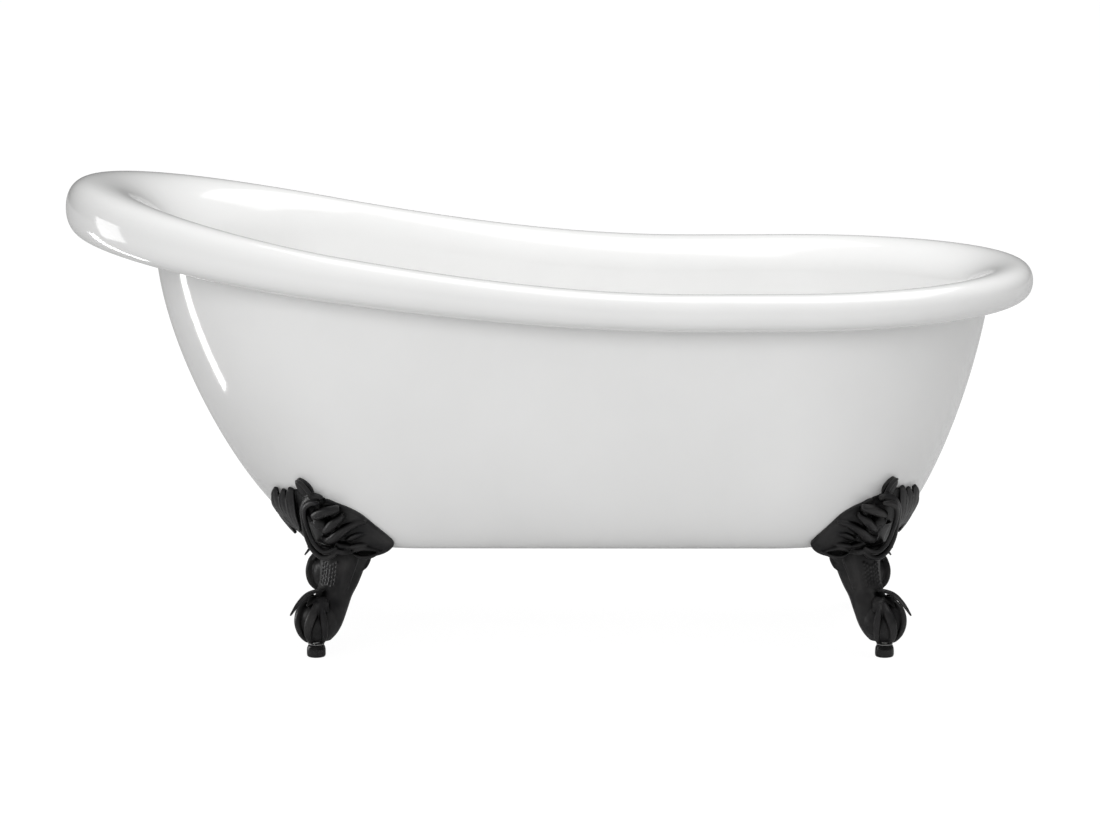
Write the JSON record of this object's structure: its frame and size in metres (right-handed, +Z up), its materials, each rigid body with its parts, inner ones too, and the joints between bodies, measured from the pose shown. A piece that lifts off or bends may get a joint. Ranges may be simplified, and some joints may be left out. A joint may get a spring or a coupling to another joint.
{
  "type": "clawfoot bathtub",
  "caption": "Freestanding slipper bath in gloss white acrylic with a thick rolled rim, on black cast claw feet with levellers, with push-to-open waste and overflow.",
  "frame": {"origin": "floor under the middle of the bath's length and width", "axes": "+Z up; +X towards the low tap end, along the bath; +Y to the bath's left side, seen from the tap end's right"},
  "size_m": [1.55, 0.732, 0.741],
  "materials": {
    "white_acrylic": "polished sanitary acrylic",
    "board": "resin-coated board, hidden",
    "resin": "bonding resin, hidden",
    "black_casting": "black satin-gloss enamel over a casting",
    "black_rubber": "moulded",
    "steel": "zinc-plated",
    "chrome": "polished plate",
    "brass": "as machined",
    "seal_rubber": "moulded",
    "fitting_plastic": "moulded"
  },
  "bodies": {
    "bath": {"bath_liner": "white_acrylic", "outer_skin": "white_acrylic", "base_board": "board", "rim_bond": "resin", "claw_foot_head_right": "black_casting", "foot_bolts_head_right": "steel", "foot_washers_head_right": "steel", "tee_nuts_head_right": "steel", "claw_foot_head_left": "black_casting", "foot_bolts_head_left": "steel", "foot_washers_head_left": "steel", "tee_nuts_head_left": "steel", "claw_foot_tap_right": "black_casting", "foot_bolts_tap_right": "steel", "foot_washers_tap_right": "steel", "tee_nuts_tap_right": "steel", "claw_foot_tap_left": "black_casting", "foot_bolts_tap_left": "steel", "foot_washers_tap_left": "steel", "tee_nuts_tap_left": "steel", "waste_tail": "chrome", "waste_top_seal": "seal_rubber", "waste_bottom_seal": "seal_rubber", "waste_back_nut": "brass", "waste_banjo": "fitting_plastic", "banjo_seals": "seal_rubber", "plug_cartridge": "fitting_plastic", "overflow_cover": "chrome", "overflow_screw": "steel", "overflow_seal": "seal_rubber", "overflow_elbow": "fitting_plastic", "overflow_pipe": "fitting_plastic"},
    "plug": {"plug_cap": "chrome", "plug_seal": "seal_rubber", "plug_stem": "brass"},
    "pad_head_right": {"leveller_pad_head_right": "black_rubber"},
    "stud_head_right": {"leveller_stud_head_right": "steel"},
    "pad_head_left": {"leveller_pad_head_left": "black_rubber"},
    "stud_head_left": {"leveller_stud_head_left": "steel"},
    "pad_tap_right": {"leveller_pad_tap_right": "black_rubber"},
    "stud_tap_right": {"leveller_stud_tap_right": "steel"},
    "pad_tap_left": {"leveller_pad_tap_left": "black_rubber"},
    "stud_tap_left": {"leveller_stud_tap_left": "steel"}
  },
  "joints": [
    {"name": "plug_lift", "type": "slide", "parent": "bath", "child": "plug", "axis": [0, 0, 1], "range_m": [0, 0.012]},
    {"name": "level_head_right", "type": "slide", "parent": "bath", "child": "pad_head_right", "axis": [0, 0, -1], "range_m": [-0.002, 0.012]},
    {"name": "turn_head_right", "type": "hinge", "parent": "pad_head_right", "child": "stud_head_right", "pos_m": [-0.371, -0.2, 0], "axis": [0, 0, -1], "range_deg": [-480, 2880]},
    {"name": "level_head_left", "type": "slide", "parent": "bath", "child": "pad_head_left", "axis": [0, 0, -1], "range_m": [-0.002, 0.012]},
    {"name": "turn_head_left", "type": "hinge", "parent": "pad_head_left", "child": "stud_head_left", "pos_m": [-0.371, 0.2, 0], "axis": [0, 0, -1], "range_deg": [-480, 2880]},
    {"name": "level_tap_right", "type": "slide", "parent": "bath", "child": "pad_tap_right", "axis": [0, 0, -1], "range_m": [-0.002, 0.012]},
    {"name": "turn_tap_right", "type": "hinge", "parent": "pad_tap_right", "child": "stud_tap_right", "pos_m": [0.531, -0.2, 0], "axis": [0, 0, -1], "range_deg": [-480, 2880]},
    {"name": "level_tap_left", "type": "slide", "parent": "bath", "child": "pad_tap_left", "axis": [0, 0, -1], "range_m": [-0.002, 0.012]},
    {"name": "turn_tap_left", "type": "hinge", "parent": "pad_tap_left", "child": "stud_tap_left", "pos_m": [0.531, 0.2, 0], "axis": [0, 0, -1], "range_deg": [-480, 2880]}
  ],
  "couplings": [
    {"joint": "turn_head_right", "follows": "level_head_right", "rad_per_m": 4188.8},
    {"joint": "turn_head_left", "follows": "level_head_left", "rad_per_m": 4188.8},
    {"joint": "turn_tap_right", "follows": "level_tap_right", "rad_per_m": 4188.8},
    {"joint": "turn_tap_left", "follows": "level_tap_left", "rad_per_m": 4188.8}
  ]
}
